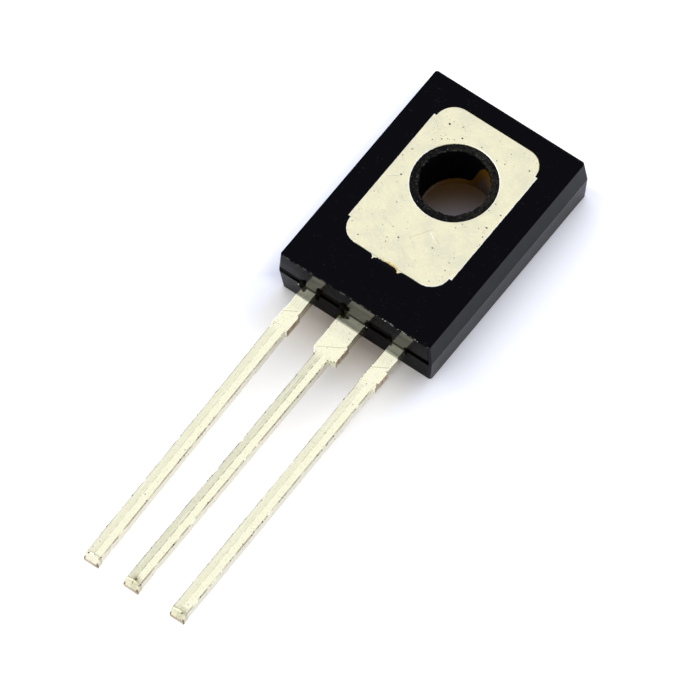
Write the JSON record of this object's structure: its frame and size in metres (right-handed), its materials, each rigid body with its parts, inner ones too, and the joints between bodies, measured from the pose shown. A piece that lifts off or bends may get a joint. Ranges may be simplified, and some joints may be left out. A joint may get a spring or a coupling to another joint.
{
  "type": "transistor",
  "caption": "Flat plastic power transistor lying on its front face: black moulding with a screw hole, a bare tinned heat-sink pad and a row of long flat leads.",
  "frame": {"origin": "on the axis of the screw hole, in the plane of the flat front face that the part lies on", "axes": "+Z along the screw hole, from the front face to the bare mounting face; +Y from the leads to the hole end; +X across the leads"},
  "size_m": [0.0076, 0.0257, 0.0026],
  "materials": {
    "epoxy": "matte",
    "tinned_copper": "satin",
    "silicon": "satin",
    "solder": "satin",
    "bond_wire": "satin"
  },
  "bodies": {
    "root": {"epoxy_body": "epoxy", "collector_tab": "tinned_copper", "emitter_lead": "tinned_copper", "base_lead": "tinned_copper", "silicon_die": "silicon", "die_solder": "solder", "emitter_wire": "bond_wire", "base_wire": "bond_wire"}
  },
  "joints": []
}
